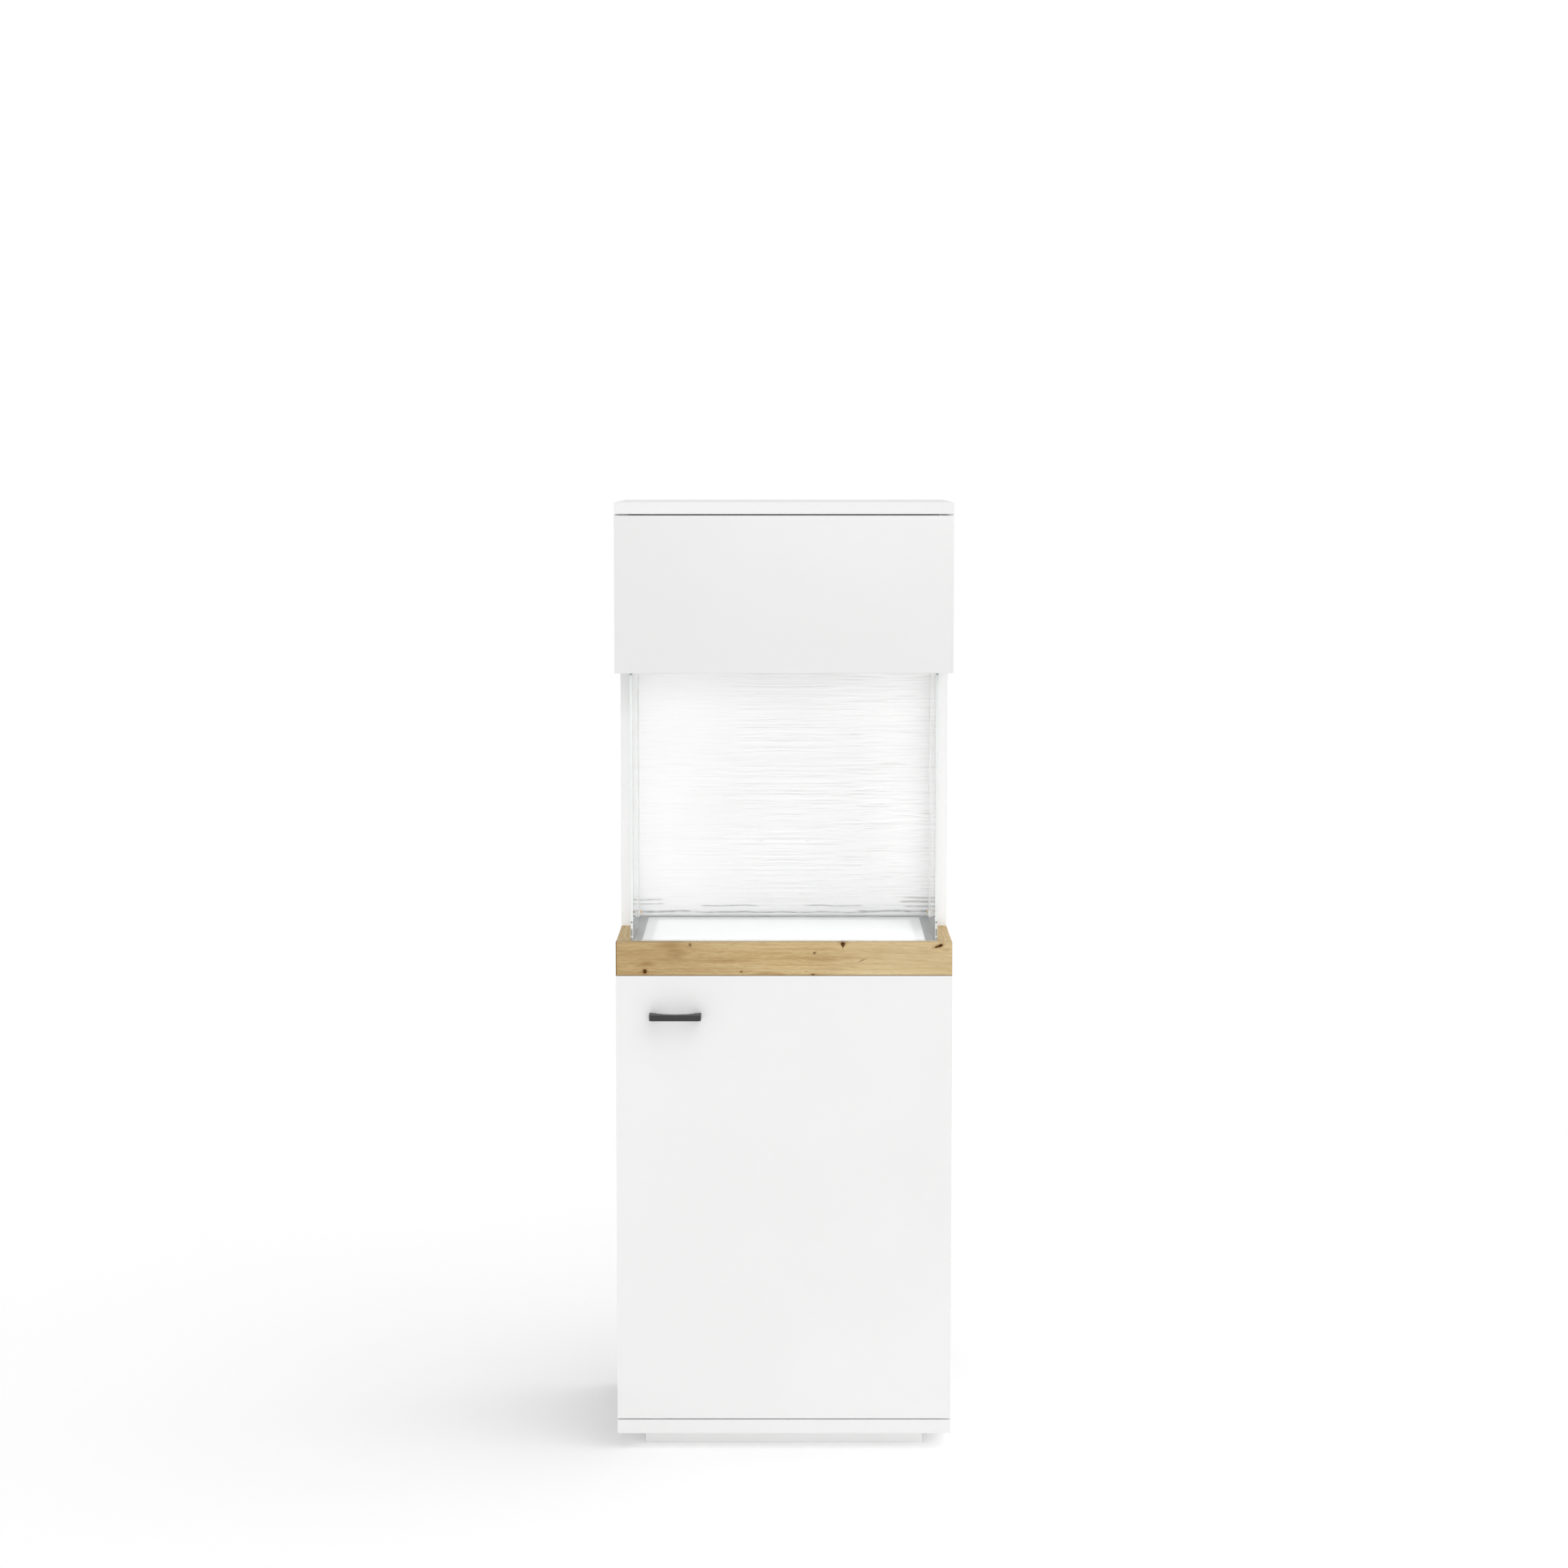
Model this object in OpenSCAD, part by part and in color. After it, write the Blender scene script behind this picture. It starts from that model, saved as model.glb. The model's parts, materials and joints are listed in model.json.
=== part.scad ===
// Free-standing display cabinet: a glazed showcase with a lit floor over a tall
// cupboard, with an oak band between them, a white carcass and a set-back plinth.
// Millimetres, +Z up, front towards -Y. The origin is on the floor, in the middle
// of the outline in plan, the bow handle included.

/* [Overall size] */
// Overall width across the side panels
width = 520; // [480:1:580]
// Depth from the door fronts to the rear edges
depth = 400; // [380:1:440]
// Height of the plinth
plinth_h = 26; // [24:1:60]
// How far the plinth stands back from the front and the sides
plinth_inset = 42.5; // [36:0.5:60]

/* [Fronts] */
// Height of the lower door
lower_door_h = 698.2; // [660:0.1:760]
// Height of the oak band
oak_h = 52; // [50:1:60]
// Clear height of the glazed corner, from the oak band to the hood
window_h = 415.5; // [380:0.5:460]
// Height of the white panel of the upper door
hood_h = 241.5; // [220:0.5:300]
// Shadow gap over the upper door
door_gap = 2; // [2:0.5:3]
// Shadow gap under the lower door
base_gap = 1.4; // [1.2:0.1:3]
// Fine gap between the lower door and the oak band
oak_gap = 0.4; // [0.4:0.1:2]

/* [Board thickness] */
// Thickness of the side panels
side_t = 22; // [22:1:25]
// Thickness of the bottom panel
base_t = 22; // [22:1:25]
// Thickness of the top panel
top_t = 18; // [18:1:22]
// Thickness of the doors and of the front oak rail
door_t = 18; // [18:0.5:19]
// Thickness of the fixed inner boards
board_t = 18; // [18:1:20]

/* [Showcase] */
// How far the side cut-outs run back from the front
cutout_d = 198; // [180:1:210]
// Thickness of the side panes
pane_t = 4; // [4:0.5:5]
// Thickness of the front pane
front_pane_t = 5; // [4:0.5:5]
// Half width of the opal light panel
light_half_w = 222; // [200:1:224]
// Step from the oak band's top down to the showcase floor
floor_drop = 5; // [4:0.5:6]

/* [Handle] */
// Length of the bow handle
handle_len = 80; // [76:1:100]
// Height of the bow handle's bar
handle_bar_h = 9; // [8:0.5:12]
// How far the handle stands out from the door
handle_proj = 28; // [28:0.5:30]
// Distance between the handle's screws
handle_cc = 64; // [64:1:66]
// Middle of the handle, left of the cabinet's middle
handle_x = 168; // [150:1:190]
// Middle of the handle below the top edge of the lower door
handle_drop = 62.1; // [40:0.1:120]

/* [Pivots] */
// Diameter of the pivot pins
pin_d = 5; // [4.5:0.5:5]
// Radial clearance of the pins in their bushes
pin_clear = 0.05; // [0.03:0.01:0.08]
// Pivot axis from the right edge of the door
pivot_in = 6; // [6:0.5:7]

/* [Hidden] */
$fn = 48;

white = [0.94, 0.94, 0.93];
oak = [0.76, 0.66, 0.48];
clear_glass = [0.80, 0.90, 0.87, 0.35];
steel = [0.70, 0.71, 0.72];
alu = [0.74, 0.75, 0.76];
graphite = [0.26, 0.26, 0.27];
black = [0.05, 0.05, 0.05];
brass_c = [0.78, 0.62, 0.32];

// levels in X
xo = width / 2;          // outer face of a side panel
xi = xo - side_t;        // inner face of a side panel
xp = xi - pane_t;        // inner face of a side pane

// levels in Y
yf = -(depth + handle_proj) / 2 + handle_proj;  // front plane of doors and rails
yb = yf + depth;         // rear edges
yd = yf + door_t;        // rear face of the doors
ys = yd + 2.5;           // front edges of the side panels
yg = yd + front_pane_t;  // rear face of the front pane
ypf = yg + 2.5;          // front edges of the side panes
yn = yf + cutout_d;      // rear edge of the side cut-outs
ypr = yn + 10;           // rear edges of the side panes
yk = yb - 14;            // rear face of the back panel
back_t = 4;
ybp = yk - back_t;       // front face of the back panel
yw = ybp - 16;           // front face of the relief wall
groove = 6;              // depth of the back panel's groove

// levels in Z
z_base = plinth_h;
z_in = z_base + base_t;              // top of the bottom panel
z_ld = z_in + base_gap;              // lower door, bottom
z_lt = z_ld + lower_door_h;          // lower door, top
z_oak = z_lt + oak_gap;              // oak band, bottom
z_sill = z_oak + oak_h;              // oak band, top
z_hood = z_sill + window_h;          // upper door panel, bottom
z_hoodt = z_hood + hood_h;           // upper door panel, top
z_top = z_hoodt + door_gap;          // top panel, underside
z_max = z_top + top_t;
z_floor = z_sill - floor_drop;       // showcase floor
z_shelf = z_hood + 6.5;              // fixed shelf behind the hood, underside
z_mid = z_oak + board_t;             // top of the fixed mid board
trim_t = 2;
z_box = z_floor - trim_t;            // top of the light box
dif_t = 4;

// pivot axis
px = xo - pivot_in;
py = yf + door_t / 2;
bush_d = pin_d + 3;
plate_w = 9;

// lit window in the showcase floor
lw = light_half_w + 0.2;
ly0 = yf + 36;
ly1 = yw - 8;
gw = light_half_w - 10;
gy0 = ly0 + 11;
gy1 = ly1 - 38;

// handle
hz = z_lt - handle_drop;
bow = handle_proj - 11.5;                    // clear depth behind the bow
bow_c = handle_len - 6;                      // width of the bow's opening at the door
bow_r = (bow_c * bow_c / 4 + bow * bow) / (2 * bow);
boss_d = 8.4;                                // bosses that take the handle's screws

// fittings
cam_x = xi - 24;
cam_y = [yf + 66, yf + 326];
cam_z = [z_oak + 9, z_shelf + 11];
dowel_y = [yf + 86, yf + 306];
pin_y = [yf + 76, yf + 336];
shelf_z = z_in + 332;
clamp_x = [-180, -60, 60, 180];
clamp_z = z_hood + 51.5;
front_pane_top = z_hood + 39.5;
latch_z = z_hood + 84.5;
latch_x = -(xi - 7.5);
catch_z = z_lt - 94;
grommet_z = z_oak - 48;
ret_z = [z_sill + 14.5, z_shelf - 9.5];
ret_h = 9;      // height of a retainer
ret_s = 5.8;    // its screw above its foot
bracket_x = 14;

// ---------- helpers ----------
module bx(x0, x1, y0, y1, z0, z1) {
    translate([x0, y0, z0]) cube([x1 - x0, y1 - y0, z1 - z0]);
}
// mirrored pair of boxes, left and right
module pair(x0, x1, y0, y1, z0, z1) {
    bx(x0, x1, y0, y1, z0, z1);
    bx(-x1, -x0, y0, y1, z0, z1);
}
module cz(x, y, z0, z1, d) { translate([x, y, z0]) cylinder(d = d, h = z1 - z0); }
module cy(x, y0, y1, z, d) { translate([x, y0, z]) rotate([-90, 0, 0]) cylinder(d = d, h = y1 - y0); }
module cx(x0, x1, y, z, d) { translate([x0, y, z]) rotate([0, 90, 0]) cylinder(d = d, h = x1 - x0); }

// ---------- carcass ----------
module back_groove(z0, z1) { bx(-xi - groove - 0.2, xi + groove + 0.2, ybp - 0.1, yk + 0.1, z0, z1); }

module top_panel() {
    color(white) difference() {
        bx(-xo, xo, yf, yb, z_top, z_max);
        back_groove(z_top - 1, z_top + groove + 0.2);
        cz(px, py, z_top - 1, z_top + 12.1, bush_d + 0.1);
        for (s = [-1, 1], y = dowel_y) cz(s * (xo - side_t / 2), y, z_top - 1, z_top + 10.5, 8.1);
        for (s = [-1, 1]) cz(s * bracket_x, yb - 7, z_top - 1, z_top + 12.2, 3.6);
    }
}

module bottom_panel() {
    color(white) difference() {
        bx(-xo, xo, yf, yb, z_base, z_in);
        back_groove(z_in - groove - 0.2, z_in + 1);
        cz(px, py, z_in - 12.1, z_in + 1, bush_d + 0.1);
        for (s = [-1, 1], y = dowel_y) cz(s * (xo - side_t / 2), y, z_in - 10.5, z_in + 1, 8.1);
        for (s = [-1, 1], y = plinth_screw_y) {
            cz(s * 100, y, z_base - 1, z_in + 1, 4.1);
            translate([s * 100, y, z_in - 2.6]) cylinder(d1 = 4.1, d2 = 9.3, h = 2.61);
        }
    }
}

// one side panel, drawn as the right one
module side_panel(right) {
    difference() {
        bx(xi, xo, ys, yb, z_in, z_top);
        bx(xi - 1, xo + 1, ys - 1, yn, z_oak, z_hood);
        bx(xi - 1, xi + groove + 0.2, ybp - 0.1, yk + 0.1, z_in - 1, z_top + 1);
        for (y = dowel_y) {
            cz(xo - side_t / 2, y, z_in - 1, z_in + 10.5, 8.1);
            cz(xo - side_t / 2, y, z_top - 10.5, z_top + 1, 8.1);
        }
        cx(xi - 1, xi + 12.2, cam_y[1], cam_z[0], 6.1);
        for (y = cam_y) cx(xi - 1, xi + 12.2, y, cam_z[1], 6.1);
        for (y = pin_y, k = [-1, 0, 1]) cx(xi - 1, xi + 10.2, y, shelf_z - 2.5 + 64 * k, 5.1);
        for (z = ret_z) cx(xi - 1, xi + 12.2, ypr + 7, z + ret_s, 3.1);
        if (right) {
            bx(px - plate_w / 2 - 0.1, px + plate_w / 2 + 0.1, ys - 1, ys + 40.6, z_hood - 1, z_hood + 5);
            for (y = [ys + 13.5, ys + 31.5]) cz(px, y, z_hood, z_hood + 24.7, 3.6);
        } else {
            for (y = [-20, 20]) cx(xi - 1, xi + 9.2, yg + 30 + y, latch_z + 14, 3.1);
            for (z = [-9, 9]) cx(xi - 1, xi + 9.2, yd + 24, catch_z + z, 3.1);
        }
    }
}
module side_panel_left() { color(white) mirror([1, 0, 0]) side_panel(false); }
module side_panel_right() { color(white) side_panel(true); }

module mid_board() {
    color(white) difference() {
        bx(-xi, xi, yd, ybp, z_oak, z_mid);
        cz(0, gy1 - 24, z_oak - 1, z_mid + 1, 6);
        for (s = [-1, 1]) {
            for (y = cam_y) cz(s * cam_x, y, z_oak - 1, z_oak + 12.5, 15.1);
            cz(s * 66, gy1 - 24, z_oak - 1, z_oak + 12.2, 3.1);
        }
        for (y = cam_y) {
            cx(cam_x, xi + 1, y, cam_z[0], 6.1);
            cx(-xi - 1, -cam_x, y, cam_z[0], 6.1);
        }
    }
}

module hood_shelf() {
    color(white) difference() {
        bx(-xi, xi, ypf + 2.5, ybp, z_shelf, z_shelf + board_t);
        pair(xp - 0.2, xi + 1, ypf, ypr + 0.3, z_shelf - 1, z_shelf + 6);
        for (s = [-1, 1], y = cam_y) cz(s * cam_x, y, z_shelf + 5.5, z_shelf + board_t + 1, 15.1);
        for (y = cam_y) {
            cx(cam_x, xi + 1, y, cam_z[1], 6.1);
            cx(-xi - 1, -cam_x, y, cam_z[1], 6.1);
        }
    }
}

module back_panel() {
    color([0.90, 0.90, 0.89]) difference() {
        bx(-xi - groove, xi + groove, ybp, yk, z_in - groove, z_top + groove);
        cy(0, ybp - 1, yk + 1, grommet_z, 20.1);
    }
}

module texture_wall() { color(white) bx(-xi + 0.05, xi - 0.05, yw, ybp, z_box, z_shelf); }

// ---------- plinth ----------
plinth_t = 16;
pxo = xo - plinth_inset;
pyf = yf + plinth_inset - 0.5;
pyr = yb - 30;
plinth_screw_y = [pyf + plinth_t / 2, pyr - plinth_t / 2];

module plinth_board(y0) {
    difference() {
        bx(-pxo, pxo, y0, y0 + plinth_t, 0, z_base);
        for (s = [-1, 1]) cz(s * 100, y0 + plinth_t / 2, 7.8, z_base + 1, 4.1);
    }
}
module plinth_front() { color(white) plinth_board(pyf); }
module plinth_rear() { color(white) plinth_board(pyr - plinth_t); }
module plinth_right() { color(white) bx(pxo - plinth_t, pxo, pyf + plinth_t, pyr - plinth_t, 0, z_base); }
module plinth_left() { color(white) bx(-pxo, -pxo + plinth_t, pyf + plinth_t, pyr - plinth_t, 0, z_base); }
module plinth_screws() {
    color(steel) for (s = [-1, 1], y = plinth_screw_y) difference() {
        union() {
            cz(s * 100, y, 8, z_in - 0.1, 4);
            translate([s * 100, y, z_in - 2.6]) cylinder(d1 = 4, d2 = 9, h = 2.5);
        }
        for (a = [0, 90]) translate([s * 100, y, z_in - 0.6]) rotate(a) cube([4.5, 1, 2.4], center = true);
    }
}

// ---------- oak band ----------
module oak_front_rail() {
    color(oak) difference() {
        bx(-xo, xo, yf, yd, z_oak, z_sill);
        cz(px, py, z_oak - 1, z_oak + 12.1, bush_d + 0.1);
    }
}
module oak_rail(s) {
    difference() {
        bx(s > 0 ? xi : -xo, s > 0 ? xo : -xi, yd, yn, z_oak, z_sill);
        cx(s > 0 ? xi - 1 : -xi - 12.2, s > 0 ? xi + 12.2 : -xi + 1, cam_y[0], cam_z[0], 6.1);
    }
}
module oak_rail_left() { color(oak) oak_rail(-1); }
module oak_rail_right() { color(oak) oak_rail(1); }

// ---------- glazing ----------
module side_glass_right() { color(clear_glass) bx(xp, xi, ypf, ypr, z_box - 5, z_shelf + 5.5); }
module side_glass_left() { color(clear_glass) bx(-xi, -xp, ypf, ypr, z_box - 5, z_shelf + 5.5); }

// soft stops on the front edges of the side panes: a pad and a strip at the foot,
// a button above them and a button under the hood
module glass_bumpers() {
    color(black) {
        pair(xi - 2.7, xi - 1.1, ypf - 2.1, ypf, z_sill + 1, z_sill + 4.2);
        pair(xi - 2.7, xi - 1.1, ypf - 2.1, ypf, z_sill + 7, z_sill + 17.6);
        for (m = [0, 1], z = [z_sill + 28, z_hood - 2.4])
            mirror([m, 0, 0]) cy(xi - 1.9, ypf - 2.1, ypf, z, 2.6);
    }
}

// angle-shaped blocks that hold the rear edges of the side panes
module retainer(z) {
    difference() {
        union() {
            bx(xp - 3.5, xp, yn, ypr + 14, z, z + ret_h);
            bx(xp, xi, ypr + 0.3, ypr + 14, z, z + ret_h);
        }
        cx(xp - 5, xi + 1, ypr + 7, z + ret_s, 3.1);
    }
}
module glass_retainers() {
    color([0.85, 0.85, 0.83]) for (m = [0, 1], z = ret_z) mirror([m, 0, 0]) retainer(z);
}
module retainer_screws() {
    color(brass_c) for (m = [0, 1], z = ret_z) mirror([m, 0, 0]) difference() {
        union() {
            cx(xp - 5, xp - 3.5, ypr + 7, z + ret_s, 5.4);
            cx(xp - 3.5, xi + 12, ypr + 7, z + ret_s, 3);
        }
        for (a = [0, 90]) translate([xp - 5, ypr + 7, z + ret_s]) rotate([a, 0, 0]) cube([1.6, 3.4, 0.8], center = true);
    }
}

// ---------- lit floor ----------
module light_box() {
    color(white) difference() {
        bx(-xi, xi, yd, ybp, z_mid, z_box);
        bx(-gw, gw, gy0, gy1, z_mid - 1, z_box + 1);
        bx(-lw, lw, ly0 - 0.2, ly1 + 0.2, z_box - dif_t, z_box + 1);
        pair(xp - 0.2, xi + 1, ypf - 0.5, ypr + 0.3, z_box - 5.5, z_box + 1);
    }
}
module light_trim() {
    color(alu) difference() {
        union() {
            bx(-xi, xi, ypr + 0.3, yw, z_box, z_floor);
            bx(-xp, xp, yd, ypr + 0.3, z_box, z_floor);
        }
        bx(-lw, lw, ly0 - 0.2, ly1 + 0.2, z_box - 1, z_floor + 1);
    }
}
module light_diffuser() { color([1, 1, 1]) bx(-lw + 0.2, lw - 0.2, ly0, ly1, z_box - dif_t, z_box); }

led_y = [for (k = [0:4]) gy0 + 27 + k * (gy1 - gy0 - 51) / 4];
module led_strips() { color([0.92, 0.92, 0.88]) for (y = led_y) bx(-200, 200, y - 5, y + 5, z_mid, z_mid + 1.2); }
module led_chips() {
    color([1, 0.95, 0.75]) for (y = led_y, k = [0:11])
        translate([-187 + k * 34, y, z_mid + 1.9]) cube([5, 5, 1.4], center = true);
}
module led_driver() {
    y = gy1 - 24;
    color([0.15, 0.15, 0.16]) difference() {
        union() {
            bx(-58, 58, y - 20, y + 20, z_oak - 22, z_oak);
            bx(-74, 74, y - 9, y + 9, z_oak - 3, z_oak);
        }
        for (s = [-1, 1]) cz(s * 66, y, z_oak - 4, z_oak + 1, 3.1);
        bx(-11, 11, y + 12, y + 21, z_oak - 17, z_oak - 6);
        for (k = [-4:4]) bx(k * 11 - 2, k * 11 + 2, y - 16, y + 6, z_oak - 23, z_oak - 21.2);
    }
}
module led_lead() { color([0.9, 0.9, 0.9]) cz(0, gy1 - 24, z_oak, z_mid, 3); }
module cable_grommet() {
    color(black) translate([0, ybp, grommet_z]) rotate([-90, 0, 0]) rotate_extrude()
        polygon([[6, -2], [13, -2], [13, 0], [10, 0], [10, back_t], [13, back_t], [13, back_t + 2], [6, back_t + 2]]);
}

// ---------- lower compartment ----------
module lower_shelf() { color(white) bx(-xi + 1, xi - 1, ys + 22, ybp - 2, shelf_z, shelf_z + 16); }
module shelf_pins() {
    color(steel) for (m = [0, 1], y = pin_y) mirror([m, 0, 0]) cx(xi - 10, xi + 10, y, shelf_z - 2.5, 5);
}

// ---------- pivots ----------
// a bush; up = 1 puts the flange on top, -1 underneath
module bush(z, up, flange = 1.2) {
    difference() {
        union() {
            cz(px, py, up > 0 ? z - 12 : z, up > 0 ? z : z + 12, bush_d);
            if (flange > 0) cz(px, py, up > 0 ? z : z - flange, up > 0 ? z + flange : z, bush_d + 3);
        }
        cz(px, py, z - 14, z + 14, pin_d + 2 * pin_clear);
    }
}
module pivot_bushes() {
    color([0.88, 0.88, 0.87]) {
        bush(z_in, 1, 0.8);
        bush(z_oak, -1, 0);
        bush(z_top, -1);
    }
}
module pivot_plate() {
    color(steel) difference() {
        union() {
            bx(px - plate_w / 2, px + plate_w / 2, py, ys + 40.5, z_hood + 1, z_hood + 5);
            cz(px, py, z_hood + 1, z_hood + 5, plate_w);
        }
        cz(px, py, z_hood, z_hood + 6, pin_d + 2 * pin_clear);
        for (y = [ys + 13.5, ys + 31.5]) {
            cz(px, y, z_hood, z_hood + 6, 3.6);
            translate([px, y, z_hood + 0.99]) cylinder(d1 = 7.2, d2 = 3.6, h = 1.8);
        }
    }
}
module pivot_plate_screws() {
    color(steel) for (y = [ys + 13.5, ys + 31.5]) difference() {
        union() {
            cz(px, y, z_hood + 1.1, z_hood + 24.5, 3.5);
            translate([px, y, z_hood + 1.1]) cylinder(d1 = 6.9, d2 = 3.5, h = 1.7);
        }
        for (a = [0, 90]) translate([px, y, z_hood + 1.3]) rotate(a) cube([3.6, 0.8, 1.4], center = true);
    }
}

// ---------- door fittings on the carcass ----------
module latch_body() {
    color([0.88, 0.88, 0.87]) difference() {
        union() {
            bx(-xi, -xi + 15, yg + 1, yg + 58, latch_z - 9, latch_z + 9);
            bx(-xi, -xi + 3, yg + 1, yg + 58, latch_z + 9, latch_z + 19);
        }
        cy(latch_x, yg, yg + 45, latch_z, 8 + 2 * pin_clear);
        for (y = [-20, 20]) cx(-xi - 1, -xi + 4, yg + 30 + y, latch_z + 14, 3.1);
    }
}
module magnet_catch() {
    color([0.88, 0.88, 0.87]) difference() {
        union() {
            bx(-xi, -xi + 16, yd + 1.3, yd + 18, catch_z - 12, catch_z + 12);
            bx(-xi, -xi + 3, yd + 18, yd + 33, catch_z - 14, catch_z + 14);
        }
        for (z = [-9, 9]) cx(-xi - 1, -xi + 4, yd + 24, catch_z + z, 3.1);
    }
}
// small round-headed screws along X into the left side panel, and upwards into the mid board
module fitting_screws() {
    color(steel) {
        for (y = [-20, 20]) {
            cx(-xi - 9, -xi + 3, yg + 30 + y, latch_z + 14, 3);
            cx(-xi + 3, -xi + 4.6, yg + 30 + y, latch_z + 14, 6);
        }
        for (z = [-9, 9]) {
            cx(-xi - 9, -xi + 3, yd + 24, catch_z + z, 3);
            cx(-xi + 3, -xi + 4.6, yd + 24, catch_z + z, 6);
        }
        for (s = [-1, 1]) {
            cz(s * 66, gy1 - 24, z_oak - 3, z_oak + 12, 3);
            cz(s * 66, gy1 - 24, z_oak - 4.6, z_oak - 3, 6);
        }
    }
}
module door_bumpers() {
    color([0.93, 0.93, 0.92]) for (z = [z_ld + 40, z_lt - 36, z_hood + 20, z_hoodt - 17])
        cy(-(xo - side_t / 2), ys - 2.2, ys, z, 8);
}

// ---------- board connectors ----------
module cam(x, y, z) {
    difference() {
        cz(x, y, z, z + 12, 15);
        for (a = [0, 90]) translate([x, y, z]) rotate(a) cube([8, 1.6, 4], center = true);
    }
}
module cam_fittings() {
    color(steel) for (s = [-1, 1], y = cam_y) {
        cam(s * cam_x, y, z_oak);
        translate([0, 0, 2 * (z_shelf + board_t)]) mirror([0, 0, 1]) cam(s * cam_x, y, z_shelf + board_t);
    }
}
module cam_bolts() {
    color(steel) for (m = [0, 1], y = cam_y, z = cam_z) mirror([m, 0, 0]) cx(cam_x + 7.8, xi + 12, y, z, 6);
}
module dowels() {
    color([0.82, 0.68, 0.45]) for (s = [-1, 1], y = dowel_y) {
        cz(s * (xo - side_t / 2), y, z_in - 10, z_in + 10, 8);
        cz(s * (xo - side_t / 2), y, z_top - 10, z_top + 10, 8);
    }
}

// ---------- wall bracket against tipping ----------
module wall_bracket() {
    color(steel) difference() {
        union() {
            bx(-25, 25, yb - 2, yb, z_top - 35, z_top);
            bx(-25, 25, yk + 1, yb, z_top - 2, z_top);
        }
        for (s = [-1, 1]) {
            cy(s * bracket_x, yb - 3, yb + 1, z_top - 23, 5.5);
            cz(s * bracket_x, yb - 7, z_top - 3, z_top + 1, 3.6);
        }
    }
}
module wall_bracket_screws() {
    color(steel) for (s = [-1, 1]) {
        cz(s * bracket_x, yb - 7, z_top - 2, z_top + 12, 3.5);
        cz(s * bracket_x, yb - 7, z_top - 3.5, z_top - 2, 7);
    }
}

// ---------- lower door ----------
module lower_door_panel() {
    color(white) difference() {
        bx(-xo, xo, yf, yd, z_ld, z_lt);
        cz(px, py, z_ld - 1, z_ld + 22.2, pin_d + 0.1);
        cz(px, py, z_lt - 22.2, z_lt + 1, pin_d + 0.1);
        for (s = [-1, 1]) cy(-handle_x + s * handle_cc / 2, yf - 1, yd + 1, hz, 4.5);
    }
}
module lower_pivot_pins() {
    color(steel) {
        cz(px, py, z_in - 10, z_ld + 22, pin_d);
        cz(px, py, z_lt - 22, z_oak + 10, pin_d);
    }
}
// straight bar with round corners in plan, hollowed behind by one long arc, on two bosses
module door_handle() {
    l = handle_len / 2;
    color(graphite) translate([-handle_x, yf, hz - handle_bar_h / 2]) difference() {
        union() {
            linear_extrude(height = handle_bar_h) difference() {
                union() {
                    translate([-l, -handle_proj + 6]) square([2 * l, handle_proj - 6]);
                    translate([-l + 6, -handle_proj]) square([2 * l - 12, handle_proj]);
                    for (s = [-1, 1]) translate([s * (l - 6), -handle_proj + 6]) circle(r = 6);
                }
                translate([0, bow_r - bow]) circle(r = bow_r, $fn = 96);
            }
            for (s = [-1, 1]) cy(s * handle_cc / 2, -9, 0, handle_bar_h / 2, boss_d);
        }
        for (s = [-1, 1]) cy(s * handle_cc / 2, -10.2, 1, handle_bar_h / 2, 4.1);
    }
}
module handle_screws() {
    color(steel) for (s = [-1, 1]) difference() {
        union() {
            cy(-handle_x + s * handle_cc / 2, yf - 10, yd, hz, 4);
            cy(-handle_x + s * handle_cc / 2, yd, yd + 2.2, hz, 8);
        }
        for (a = [0, 90]) translate([-handle_x + s * handle_cc / 2, yd + 2.2, hz]) rotate([0, a, 0]) cube([5, 2, 1], center = true);
    }
}
module catch_strike() { color(steel) bx(-xi + 2, -xi + 20, yd, yd + 0.8, catch_z - 10, catch_z + 10); }

// ---------- upper door ----------
module upper_door_panel() {
    color(white) difference() {
        bx(-xo, xo, yf, yd, z_hood, z_hoodt);
        cz(px, py, z_hoodt - 22.2, z_hoodt + 1, pin_d + 0.1);
        cz(px, py, z_hood, z_hood + 27.7, pin_d + 0.1);
        bx(px - plate_w / 2 - 0.7, xo + 1, py - plate_w / 2 - 0.8, yd + 1, z_hood - 1, z_hood + 5.7);
        for (x = clamp_x) cy(x, yd - 12.2, yd + 1, clamp_z, 3.6);
    }
}
module upper_door_glass() { color(clear_glass) bx(-xi + 1.5, xi - 1.5, yd, yg, z_sill + 0.8, front_pane_top); }
module glass_clamps() {
    color(steel) for (x = clamp_x) difference() {
        union() {
            bx(x - 11, x + 11, yd, yg, front_pane_top + 0.4, front_pane_top + 22);
            bx(x - 11, x + 11, yg, yg + 1.4, front_pane_top - 14.5, front_pane_top + 22);
        }
        cy(x, yd - 1, yg + 2, clamp_z, 3.6);
    }
}
module clamp_screws() {
    color(steel) for (x = clamp_x) {
        cy(x, yd - 12, yg + 1.4, clamp_z, 3.5);
        cy(x, yg + 1.4, yg + 3, clamp_z, 7);
    }
}
module upper_pivot_pins() {
    color(steel) {
        cz(px, py, z_hoodt - 22, z_top + 10, pin_d);
        cz(px, py, z_hood + 1.3, z_hood + 27.5, pin_d);
    }
}
module latch_strike() { color(steel) bx(-xi + 1.5, -xi + 17, yd, yd + 0.8, latch_z - 10, latch_z + 10); }
module latch_plunger() { color([0.80, 0.80, 0.79]) cy(latch_x, yd + 1.2, yd + 38, latch_z, 8); }

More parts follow.
